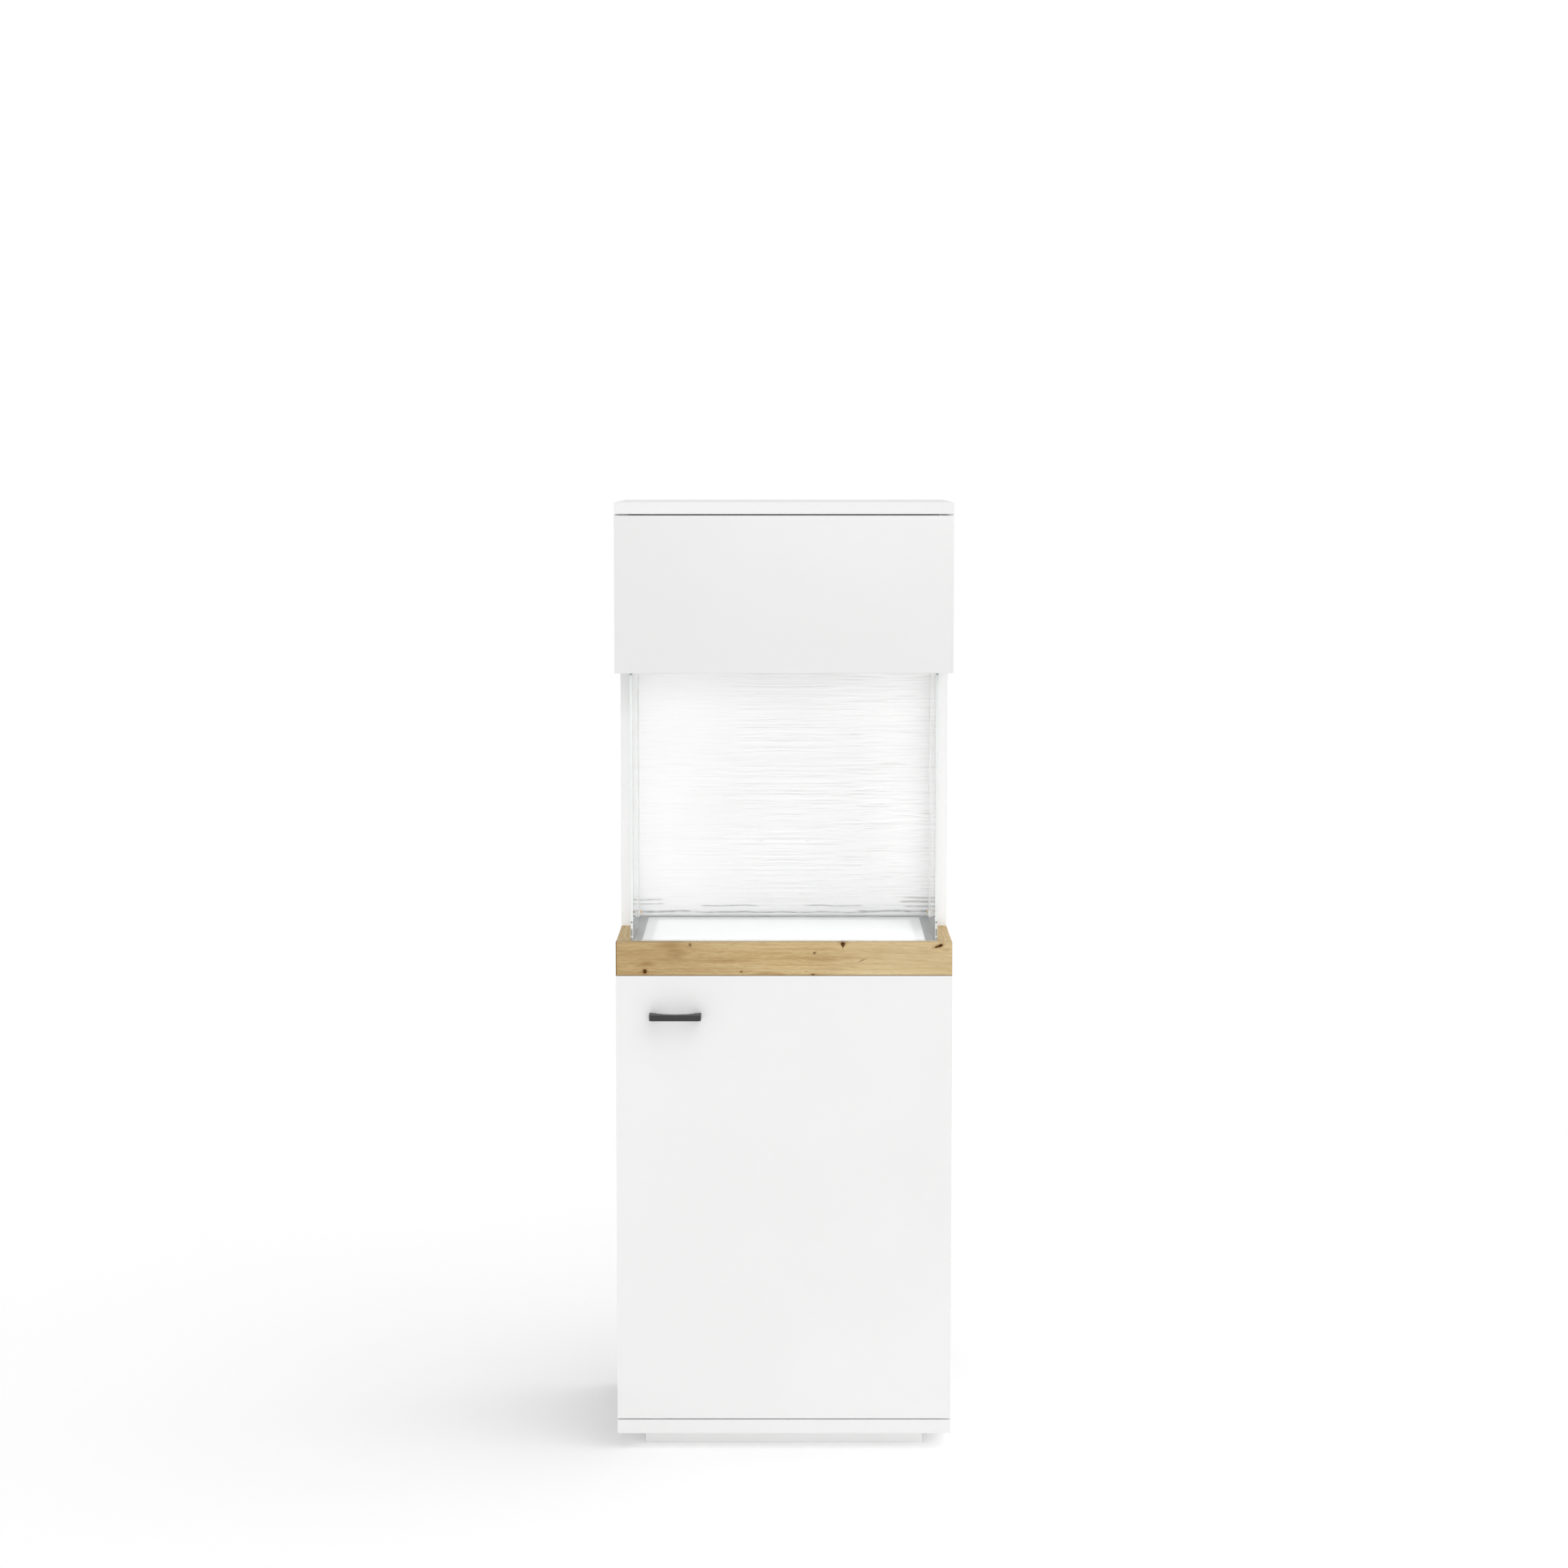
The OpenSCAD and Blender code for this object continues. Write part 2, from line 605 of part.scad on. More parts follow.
top_panel();
bottom_panel();
side_panel_left();
side_panel_right();
mid_board();
hood_shelf();
back_panel();
texture_wall();
plinth_front();
plinth_rear();
plinth_left();
plinth_right();
plinth_screws();
oak_front_rail();
oak_rail_left();
oak_rail_right();
side_glass_left();
side_glass_right();
glass_bumpers();
glass_retainers();
retainer_screws();
light_box();
light_trim();
light_diffuser();
led_strips();
led_chips();
led_driver();
led_lead();
cable_grommet();
lower_shelf();
shelf_pins();
pivot_bushes();
pivot_plate();
pivot_plate_screws();
latch_body();
magnet_catch();
fitting_screws();
door_bumpers();
cam_fittings();
cam_bolts();
dowels();
wall_bracket();
wall_bracket_screws();
lower_door_panel();
lower_pivot_pins();
door_handle();
handle_screws();
catch_strike();
upper_door_panel();
upper_door_glass();
glass_clamps();
clamp_screws();
upper_pivot_pins();
latch_strike();
latch_plunger();
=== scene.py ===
import json
import math

import bmesh
import bpy
import numpy as np
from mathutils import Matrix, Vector

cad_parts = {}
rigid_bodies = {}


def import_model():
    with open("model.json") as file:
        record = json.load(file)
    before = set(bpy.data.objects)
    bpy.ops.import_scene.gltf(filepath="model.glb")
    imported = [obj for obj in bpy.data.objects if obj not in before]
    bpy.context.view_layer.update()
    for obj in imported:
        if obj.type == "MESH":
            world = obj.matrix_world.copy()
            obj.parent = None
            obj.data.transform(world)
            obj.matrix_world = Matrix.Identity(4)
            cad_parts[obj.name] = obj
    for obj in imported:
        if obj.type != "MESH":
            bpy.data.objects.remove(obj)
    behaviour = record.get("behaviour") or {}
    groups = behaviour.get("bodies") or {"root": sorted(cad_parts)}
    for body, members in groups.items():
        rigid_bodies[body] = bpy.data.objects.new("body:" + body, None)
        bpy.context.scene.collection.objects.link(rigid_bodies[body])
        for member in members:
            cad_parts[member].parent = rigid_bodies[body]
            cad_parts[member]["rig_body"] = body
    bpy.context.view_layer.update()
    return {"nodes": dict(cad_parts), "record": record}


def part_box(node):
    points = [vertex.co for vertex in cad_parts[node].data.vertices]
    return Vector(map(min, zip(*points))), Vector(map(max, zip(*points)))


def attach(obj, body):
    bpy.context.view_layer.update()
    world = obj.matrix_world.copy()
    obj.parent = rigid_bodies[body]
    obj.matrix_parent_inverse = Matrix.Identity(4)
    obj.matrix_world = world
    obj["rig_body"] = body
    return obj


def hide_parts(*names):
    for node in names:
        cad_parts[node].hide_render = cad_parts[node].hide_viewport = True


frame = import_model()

NODES = frame["nodes"]
SLOT = {s["node"]: s["material_slot"] for s in frame["record"]["subparts"]}
BODY = {n: o["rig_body"] for n, o in NODES.items()}
SCENE = bpy.context.scene


# ---------------------------------------------------------------- node helpers

def srgb(r, g, b):
    """A colour given in 0-255 display values, as linear RGBA."""
    def lin(c):
        c /= 255.0
        return c / 12.92 if c <= 0.04045 else ((c + 0.055) / 1.055) ** 2.4
    return (lin(r), lin(g), lin(b), 1.0)


class Tree:
    """A small builder for one Principled material."""

    def __init__(self, name, **sockets):
        self.mat = bpy.data.materials.new(name)
        self.mat.use_nodes = True
        self.nt = self.mat.node_tree
        self.nt.nodes.clear()
        out = self.nt.nodes.new("ShaderNodeOutputMaterial")
        self.bsdf = self.nt.nodes.new("ShaderNodeBsdfPrincipled")
        self.nt.links.new(self.bsdf.outputs[0], out.inputs["Surface"])
        for key, value in sockets.items():
            self.set(key.replace("_", " "), value)
        self.obj = self.nt.nodes.new("ShaderNodeTexCoord").outputs["Object"]

    def set(self, socket, value):
        self.bsdf.inputs[socket].default_value = value

    def to(self, socket, source):
        self.nt.links.new(source, self.bsdf.inputs[socket])

    def put(self, node, **inputs):
        for key, value in inputs.items():
            key = key.replace("_", " ")
            if isinstance(value, bpy.types.NodeSocket):
                self.nt.links.new(value, node.inputs[key])
            else:
                node.inputs[key].default_value = value
        return node

    def math(self, op, a, b=None, c=None, clamp=False):
        n = self.nt.nodes.new("ShaderNodeMath")
        n.operation, n.use_clamp = op, clamp
        for i, v in enumerate((a, b, c)):
            if v is None:
                continue
            if isinstance(v, bpy.types.NodeSocket):
                self.nt.links.new(v, n.inputs[i])
            else:
                n.inputs[i].default_value = v
        return n.outputs[0]

    def xyz(self, vec=None):
        n = self.nt.nodes.new("ShaderNodeSeparateXYZ")
        self.nt.links.new(vec or self.obj, n.inputs[0])
        return n.outputs[0], n.outputs[1], n.outputs[2]

    def vec(self, x, y, z):
        n = self.nt.nodes.new("ShaderNodeCombineXYZ")
        for i, v in enumerate((x, y, z)):
            if isinstance(v, bpy.types.NodeSocket):
                self.nt.links.new(v, n.inputs[i])
            else:
                n.inputs[i].default_value = v
        return n.outputs[0]

    def scaled(self, sx, sy, sz, vec=None):
        n = self.nt.nodes.new("ShaderNodeMapping")
        n.inputs["Scale"].default_value = (sx, sy, sz)
        self.nt.links.new(vec or self.obj, n.inputs["Vector"])
        return n.outputs[0]

    def noise(self, vec, scale=1.0, detail=2.0, rough=0.5, distort=0.0):
        n = self.nt.nodes.new("ShaderNodeTexNoise")
        self.nt.links.new(vec, n.inputs["Vector"])
        self.put(n, Scale=scale, Detail=detail, Roughness=rough, Distortion=distort)
        return n.outputs[0]

    def span(self, value, a, b, lo=0.0, hi=1.0, smooth=False):
        n = self.nt.nodes.new("ShaderNodeMapRange")
        n.interpolation_type = "SMOOTHSTEP" if smooth else "LINEAR"
        self.nt.links.new(value, n.inputs["Value"])
        for key, v in zip(("From Min", "From Max", "To Min", "To Max"), (a, b, lo, hi)):
            n.inputs[key].default_value = v
        return n.outputs[0]

    def ramp(self, fac, stops):
        n = self.nt.nodes.new("ShaderNodeValToRGB")
        while len(n.color_ramp.elements) < len(stops):
            n.color_ramp.elements.new(0.5)
        for e, (pos, col) in zip(n.color_ramp.elements, stops):
            e.position, e.color = pos, col
        self.nt.links.new(fac, n.inputs[0])
        return n.outputs[0]

    def mix(self, fac, a, b, mode="MIX"):
        n = self.nt.nodes.new("ShaderNodeMix")
        n.data_type, n.blend_type = "RGBA", mode
        for i, v in ((0, fac), (6, a), (7, b)):
            if isinstance(v, bpy.types.NodeSocket):
                self.nt.links.new(v, n.inputs[i])
            else:
                n.inputs[i].default_value = v
        return n.outputs[2]

    def bump(self, height, strength, distance):
        n = self.nt.nodes.new("ShaderNodeBump")
        n.inputs["Strength"].default_value = strength
        n.inputs["Distance"].default_value = distance
        self.nt.links.new(height, n.inputs["Height"])
        self.to("Normal", n.outputs[0])


# ------------------------------------------------------------------- materials

WHITE = 0.775
RELIEF = 0.704


def white_board():
    """Matt lacquer: a faint cloudy tone, a fine orange-peel skin."""
    t = Tree("white_lacquer")
    cloud = t.noise(t.obj, 3.2, 3.0, 0.55)
    a, b = WHITE - 0.010, WHITE + 0.012
    t.to("Base Color", t.ramp(cloud, [(0.30, (a, a, a * 0.996, 1)), (0.70, (b, b, b * 0.998, 1))]))
    skin = t.noise(t.obj, 520.0, 2.0, 0.5)
    t.to("Roughness", t.span(t.noise(t.obj, 38.0, 3.0, 0.6), 0.3, 0.7, 0.40, 0.50))
    t.bump(skin, 0.05, 0.0004)
    return t.mat


def back_board():
    """Thin hardboard, painted white, with a pressed fibre texture."""
    t = Tree("back_hardboard")
    fibre = t.noise(t.scaled(210, 210, 260), 1.0, 5.0, 0.65, 0.6)
    cloud = t.noise(t.obj, 6.0, 3.0, 0.6)
    base = t.ramp(cloud, [(0.3, (0.735, 0.728, 0.712, 1)), (0.7, (0.775, 0.770, 0.757, 1))])
    speck = t.span(fibre, 0.60, 0.74, 0.0, 0.16)
    t.to("Base Color", t.mix(speck, base, (0.60, 0.575, 0.53, 1)))
    t.to("Roughness", t.span(fibre, 0.3, 0.7, 0.55, 0.72))
    t.bump(fibre, 0.18, 0.0004)
    return t.mat


def relief_wall():
    """White painted rough-sawn relief; its tone attribute holds painted light and shade from the ridge slopes,
    painted light near the rims and painted shade in the deep saw marks.
    """
    t = Tree("relief_white")
    n = t.nt.nodes.new("ShaderNodeAttribute")
    n.attribute_name = "tone"
    fine = t.noise(t.scaled(26, 60, 1100), 1.0, 3.0, 0.6)
    tone = t.math("MULTIPLY_ADD", t.math("SUBTRACT", fine, 0.5), 0.045, n.outputs["Fac"])
    t.to("Base Color", t.mix(tone, (0.060, 0.062, 0.062, 1), (0.94, 0.94, 0.938, 1)))
    t.to("Roughness", t.span(fine, 0.3, 0.7, 0.48, 0.60))
    t.bump(fine, 0.10, 0.0004)
    return t.mat


KNOTS = [  # along, up, half length, half height, tilt in degrees, darkness, kind
    (0.0910, 0.7958, 0.0034, 0.0040, 0, 1.00, "wedge"),
    (0.2378, 0.7936, 0.0050, 0.0015, 20, 1.00, "split"),
    (0.2418, 0.7949, 0.0030, 0.0020, 30, 1.00, "split"),
    (-0.2150, 0.7545, 0.0030, 0.0029, 0, 1.00, "ring"),
    (-0.1450, 0.7958, 0.0018, 0.0022, 30, 0.58, "dot"),
    (0.0470, 0.7835, 0.0020, 0.0014, 25, 0.66, "dot"),
    (-0.0660, 0.7540, 0.0016, 0.0013, 0, 0.66, "dot"),
    (0.0450, 0.7496, 0.0022, 0.0010, 0, 0.90, "split"),
    (0.1210, 0.7720, 0.0046, 0.0008, 24, 0.42, "split"),
    (0.0340, 0.7542, 0.0018, 0.0006, 20, 0.35, "split"),
]
CLOUDS = [  # along, up, half length, half height, strength: brown stains in the grain
    (-0.1750, 0.7900, 0.0260, 0.0085, 0.62), (-0.1660, 0.7800, 0.0200, 0.0070, 0.50),
    (-0.2130, 0.7640, 0.0200, 0.0042, 0.62), (-0.1720, 0.7690, 0.0260, 0.0050, 0.34),
    (-0.0250, 0.7535, 0.0300, 0.0040, 0.52), (-0.0060, 0.7510, 0.0180, 0.0026, 0.50),
    (0.0620, 0.7745, 0.0340, 0.0042, 0.36), (0.0780, 0.7600, 0.0260, 0.0040, 0.30),
    (0.2050, 0.7760, 0.0200, 0.0040, 0.26), (0.2500, 0.7950, 0.0080, 0.0050, 0.50),
    (0.2180, 0.7905, 0.0160, 0.0040, 0.28), (-0.0950, 0.7700, 0.0420, 0.0030, 0.34),
]


def oak(name, along, shade, knots=(), clouds=()):
    """Oiled knotty oak with the grain along one axis of the frame."""
    t = Tree(name, Specular_IOR_Level=0.30)
    x, y, z = t.xyz()
    g, a, b = (x, z, y) if along == "X" else (y, z, x)
    if along == "Y":
        g = t.math("ADD", g, 3.7)

    def tone(r, gr, bl, k=1.0):
        c = srgb(r, gr, bl)
        return (c[0] * shade * k, c[1] * shade * k, c[2] * shade * k, 1.0)

    marks = []
    up = a
    for kx, kz, rx, rz, tilt, dark, kind in knots:
        dg, da = t.math("SUBTRACT", g, kx), t.math("SUBTRACT", a, kz)
        far = t.math("POWER", t.math("MULTIPLY", dg, 1 / (rx * 7.5)), 2.0)
        far = t.math("ADD", far, t.math("POWER", t.math("MULTIPLY", da, 1 / (rz * 3.6)), 2.0))
        pull = t.span(far, 0.0, 1.0, -0.62, 0.0, True)
        up = t.math("MULTIPLY_ADD", da, pull, up)
        c, s = math.cos(math.radians(tilt)), math.sin(math.radians(tilt))
        u = t.math("ADD", t.math("MULTIPLY", dg, c / rx), t.math("MULTIPLY", da, s / rx))
        v = t.math("ADD", t.math("MULTIPLY", dg, -s / rz), t.math("MULTIPLY", da, c / rz))
        if kind == "wedge":
            u = t.math("DIVIDE", u, t.math("MAXIMUM", t.math("MULTIPLY_ADD", v, 0.55, 0.72), 0.20))
        d = t.math("SQRT", t.math("ADD", t.math("MULTIPLY", u, u), t.math("MULTIPLY", v, v)))
        marks.append((d, dark, kind))
    slow = t.noise(t.vec(t.math("MULTIPLY", g, 2.4), t.math("MULTIPLY", b, 9.0), t.math("MULTIPLY", up, 10.0)), 1.0, 2.0, 0.5)
    wavy = t.math("MULTIPLY_ADD", t.math("SUBTRACT", slow, 0.5), 0.034, up)

    def grain(sg, sa, detail, rough, distort=0.0, shift=0.0):
        v = t.vec(t.math("MULTIPLY_ADD", g, sg, shift), t.math("MULTIPLY", b, sa), t.math("MULTIPLY", wavy, sa))
        return t.noise(v, 1.0, detail, rough, distort)

    broad = grain(2.6, 38.0, 3.0, 0.55, 0.4)
    streak = grain(8.0, 230.0, 4.0, 0.62, 0.3)
    fine = grain(44.0, 640.0, 3.0, 0.62, 0.2, 5.0)
    pores = grain(70.0, 1700.0, 2.0, 0.55, 0.0, 2.0)
    patch = grain(12.0, 60.0, 2.0, 0.5, 0.0, 9.0)
    ring = t.math("SINE", t.math("MULTIPLY_ADD", broad, 15.0, t.math("MULTIPLY", wavy, 900.0)))
    ring = t.math("MULTIPLY", t.span(ring, 0.45, 1.0, 0.0, 1.0, True), t.span(patch, 0.38, 0.62, 0.15, 1.0))

    col = t.ramp(broad, [(0.28, tone(186, 158, 110)), (0.50, tone(200, 174, 127)), (0.74, tone(209, 186, 141))])
    col = t.mix(t.math("MULTIPLY", ring, 0.30), col, tone(168, 135, 86))
    col = t.mix(t.span(streak, 0.50, 0.72, 0.0, 0.62), col, tone(166, 133, 85))
    col = t.mix(t.span(streak, 0.45, 0.28, 0.0, 0.46), col, tone(219, 198, 155))
    col = t.mix(t.span(fine, 0.52, 0.70, 0.0, 0.55), col, tone(157, 124, 77))
    col = t.mix(t.span(fine, 0.46, 0.30, 0.0, 0.40), col, tone(221, 201, 160))
    col = t.mix(t.span(pores, 0.60, 0.72, 0.0, 0.46), col, tone(132, 100, 58))
    for cx, cz, rx, rz, much in clouds:
        far = t.math("POWER", t.math("MULTIPLY", t.math("SUBTRACT", g, cx), 1 / rx), 2.0)
        far = t.math("ADD", far, t.math("POWER", t.math("MULTIPLY", t.math("SUBTRACT", wavy, cz), 1 / rz), 2.0))
        far = t.math("MULTIPLY_ADD", t.math("SUBTRACT", streak, 0.5), 2.2, t.math("SQRT", far))
        col = t.mix(t.span(far, 0.2, 1.15, much, 0.0, True), col, tone(150, 115, 66))
    if along == "X":
        # Painted shade towards the left end and painted light towards the right, as the light falls from the right.
        col = t.mix(t.span(g, -0.24, 0.02, 0.28, 0.0, True), col, tone(146, 114, 66))
        col = t.mix(t.span(g, 0.02, 0.16, 0.0, 0.24, True), col, tone(226, 210, 170))
    lump = t.noise(t.vec(t.math("MULTIPLY", g, 330.0), t.math("MULTIPLY", b, 330.0), t.math("MULTIPLY", a, 330.0)), 1.0, 3.0, 0.6)
    cover = None
    for d, dark, kind in marks:
        rough = t.math("MULTIPLY_ADD", t.math("SUBTRACT", fine, 0.5), 0.45, d)
        col = t.mix(t.span(rough, 1.0, 2.9, 0.50 * dark, 0.0, True), col, tone(146, 108, 58))
        rough = t.math("MULTIPLY_ADD", t.math("SUBTRACT", lump, 0.5), 1.1, rough)
        body = t.span(rough, 0.92, 1.24, 0.97 * dark, 0.0, True)
        cover = body if cover is None else t.math("MAXIMUM", cover, body)
        col = t.mix(body, col, tone(60, 31, 10))
        if kind in ("ring", "wedge"):
            wave = t.span(t.math("SINE", t.math("MULTIPLY", rough, 12.0)), -0.1, 0.9, 0.0, 1.0, True)
            col = t.mix(t.math("MULTIPLY", t.span(rough, 0.42, 0.80, 0.72, 0.0, True), wave), col, tone(142, 98, 52))
    if along == "X":
        # Painted shade: darker along the rail's bottom edge and its left end, where the eased edges turn away from
        # the light.
        edge = t.math("MAXIMUM", t.span(z, 0.7488, 0.7500, 0.60, 0.0, True), t.span(x, -0.2590, -0.2576, 0.70, 0.0, True))
        col = t.mix(edge, col, tone(118, 88, 48))
    t.to("Base Color", col)
    t.to("Roughness", t.span(streak, 0.3, 0.7, 0.50, 0.64))
    if cover is not None:
        t.to("Specular IOR Level", t.span(cover, 0.0, 1.0, 0.30, 0.03))
    height = t.math("MULTIPLY_ADD", pores, -0.5, t.math("MULTIPLY_ADD", fine, -0.4, t.math("MULTIPLY", streak, -0.5)))
    t.bump(height, 0.22, 0.0005)
    return t.mat


def clear_glass():
    t = Tree("clear_glass", Base_Color=(0.986, 0.990, 0.988, 1), IOR=1.45, Transmission_Weight=1.0)
    t.to("Roughness", t.span(t.noise(t.obj, 14.0, 3.0, 0.6), 0.4, 0.9, 0.0, 0.018))
    return t.mat


def glass_edge():
    """The ground edge of a pane, grey with a little of the glass's green."""
    t = Tree("glass_edge", IOR=1.45, Transmission_Weight=0.10)
    n = t.noise(t.obj, 60.0, 3.0, 0.6)
    t.to("Base Color", t.ramp(n, [(0.3, (0.800, 0.828, 0.815, 1)), (0.7, (0.840, 0.868, 0.855, 1))]))
    t.to("Roughness", t.span(n, 0.3, 0.7, 0.34, 0.46))
    return t.mat


def moulded(name, lo, hi, r0, r1, grain=700.0, strength=0.10, **extra):
    """Moulded plastic, rubber or powder coat: fine grain and a soft tone shift."""
    t = Tree(name, **extra)
    t.to("Base Color", t.ramp(t.noise(t.obj, 45.0, 4.0, 0.6), [(0.3, lo), (0.7, hi)]))
    fine = t.noise(t.obj, grain, 3.0, 0.6)
    t.to("Roughness", t.span(fine, 0.3, 0.7, r0, r1))
    t.bump(fine, strength, 0.0003)
    return t.mat


def metal(name, lo, hi, r0, r1, stretch=(60, 900, 900), strength=0.06):
    """Brushed or turned metal, with fine lines along one axis."""
    t = Tree(name, Metallic=1.0)
    lines = t.noise(t.scaled(*stretch), 1.0, 3.0, 0.6)
    t.to("Base Color", t.ramp(lines, [(0.3, lo), (0.7, hi)]))
    t.to("Roughness", t.span(t.noise(t.obj, 90.0, 3.0, 0.6), 0.3, 0.7, r0, r1))
    t.bump(lines, strength, 0.0002)
    return t.mat


GLOW = 0.27


def opal():
    """Opal acrylic: bright over the lamp well, dimmer on the ledge round it."""
    t = Tree("opal_acrylic", Emission_Color=(1.0, 1.0, 0.995, 1))
    x, y, z = t.xyz()
    frost = t.noise(t.obj, 420.0, 2.0, 0.5)
    t.to("Base Color", t.ramp(frost, [(0.3, (0.70, 0.71, 0.71, 1)), (0.7, (0.76, 0.77, 0.77, 1))]))
    mx = t.span(t.math("ABSOLUTE", x), 0.1995, 0.2095, 1.0, 0.0, True)
    my = t.span(t.math("ABSOLUTE", t.math("SUBTRACT", y, 0.000)), 0.122, 0.152, 1.0, 0.0, True)
    t.to("Emission Strength", t.span(t.math("MULTIPLY", mx, my), 0.0, 1.0, 0.10, GLOW))
    t.to("Roughness", t.span(frost, 0.3, 0.7, 0.38, 0.50))
    return t.mat


def led_lens():
    t = Tree("led_lens", Transmission_Weight=0.0, Coat_Weight=0.6, Coat_Roughness=0.08,
             Emission_Color=(1.0, 0.95, 0.82, 1))
    n = t.noise(t.obj, 600.0, 2.0, 0.5)
    t.to("Base Color", t.ramp(n, [(0.3, (0.90, 0.72, 0.26, 1)), (0.7, (0.96, 0.80, 0.36, 1))]))
    t.to("Emission Strength", t.span(n, 0.0, 1.0, 0.8, 1.2))
    t.to("Roughness", t.span(n, 0.3, 0.7, 0.2, 0.3))
    return t.mat


def beech():
    t = Tree("beech")
    n = t.noise(t.scaled(80, 900, 900), 1.0, 4.0, 0.6)
    t.to("Base Color", t.ramp(n, [(0.3, srgb(196, 158, 110)), (0.7, srgb(222, 188, 142))]))
    t.to("Roughness", t.span(n, 0.3, 0.7, 0.55, 0.7))
    t.bump(n, 0.15, 0.0003)
    return t.mat


# One oak in two brightnesses: the front rail painted darker, and the side rails, whose tops face the light, painted
# lighter.
OAK_X = oak("oak_front", "X", 0.94, KNOTS, CLOUDS)
OAK_Y = oak("oak_side", "Y", 1.06)
EDGE = glass_edge()
MATS = {
    "white_board": white_board(),
    "back_board": back_board(),
    "relief_wall": relief_wall(),
    "oak": OAK_X,
    "clear_glass": clear_glass(),
    "black_rubber": moulded("black_rubber", (0.012, 0.012, 0.012, 1), (0.022, 0.022, 0.023, 1), 0.62, 0.80),
    "pale_plastic": moulded("pale_plastic", (0.72, 0.72, 0.70, 1), (0.78, 0.78, 0.765, 1), 0.36, 0.48, 500.0, 0.05),
    "brass": metal("brass", (0.66, 0.44, 0.16, 1), (0.78, 0.56, 0.24, 1), 0.24, 0.36),
    "satin_aluminium": metal("satin_aluminium", (0.34, 0.345, 0.35, 1), (0.43, 0.435, 0.44, 1), 0.34, 0.44, (40, 700, 700)),
    "opal_acrylic": opal(),
    "led_board": moulded("led_board", (0.72, 0.72, 0.69, 1), (0.80, 0.80, 0.77, 1), 0.40, 0.55),
    "led_lens": led_lens(),
    "black_plastic": moulded("black_plastic", (0.018, 0.018, 0.020, 1), (0.032, 0.032, 0.036, 1), 0.40, 0.55),
    "steel": metal("steel", (0.52, 0.53, 0.54, 1), (0.66, 0.67, 0.68, 1), 0.26, 0.40),
    "beech": beech(),
    "graphite": moulded("graphite", (0.022, 0.022, 0.023, 1), (0.030, 0.030, 0.031, 1), 0.44, 0.56, 1400.0, 0.16),
}


# ---------------------------------------------------------------------- pieces

def finish_mesh(obj, sharp=38.0):
    obj.data.shade_smooth()
    obj.data.set_sharp_from_angle(angle=math.radians(sharp))
    mod = obj.modifiers.new("weighted", "WEIGHTED_NORMAL")
    mod.keep_sharp = True


def settle(obj, node, mats):
    """Puts a finished mesh in the node's place, on the node's body."""
    SCENE.collection.objects.link(obj)
    for m in mats:
        obj.data.materials.append(m)
    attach(obj, BODY[node])
    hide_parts(node)
    return obj


def eased(node, width, segs=3, min_len=0.03, mats=None, edge_axis=None):
    """The node's own solid with its long outer edges eased, as a sanded or ground edge is."""
    bm = bmesh.new()
    bm.from_mesh(NODES[node].data)
    bmesh.ops.remove_doubles(bm, verts=bm.verts, dist=2e-5)
    bmesh.ops.dissolve_limit(bm, angle_limit=math.radians(0.4), verts=bm.verts, edges=bm.edges)
    bm.normal_update()
    picked = [
        e for e in bm.edges
        if e.is_manifold and e.calc_length() > min_len
        and e.calc_face_angle_signed(0.0) > math.radians(60)
    ]
    bmesh.ops.bevel(bm, geom=picked, offset=width, offset_type="OFFSET", segments=segs,
                    profile=0.5, affect="EDGES", clamp_overlap=True, loop_slide=True)
    bmesh.ops.recalc_face_normals(bm, faces=bm.faces)
    if edge_axis is not None:
        for v in bm.verts:  # a hair of air between a pane and the boards it lies against
            if edge_axis == 0:
                v.co.x = max(-0.23775, min(0.23775, v.co.x))
            else:
                v.co.y = max(-0.16775, v.co.y)
        for f in bm.faces:
            clear = abs(f.normal[edge_axis]) > 0.9
            clear = clear or (abs(f.normal.z) > 0.3 if edge_axis == 1 else f.normal.y > 0.3)
            f.material_index = 0 if clear else 1
    mesh = bpy.data.meshes.new(node + "_finish")
    bm.to_mesh(mesh)
    bm.free()
    obj = bpy.data.objects.new(node + "_finish", mesh)
    settle(obj, node, mats or [MATS[SLOT[node]]])
    finish_mesh(obj)
    return obj


def lattice(seed):
    return np.random.RandomState(seed).rand(512, 512)


def value_noise(u, v, grid):
    """Smooth value noise from 0 to 1."""
    iu, iv = np.floor(u).astype(int), np.floor(v).astype(int)
    fu, fv = u - iu, v - iv
    fu, fv = fu * fu * (3 - 2 * fu), fv * fv * (3 - 2 * fv)
    a, b = grid[iu % 512, iv % 512], grid[(iu + 1) % 512, iv % 512]
    c, d = grid[iu % 512, (iv + 1) % 512], grid[(iu + 1) % 512, (iv + 1) % 512]
    return (a * (1 - fu) + b * fu) * (1 - fv) + (c * (1 - fu) + d * fu) * fv


def step(x, a, b):
    t = np.clip((x - a) / (b - a), 0, 1)
    return t * t * (3 - 2 * t)


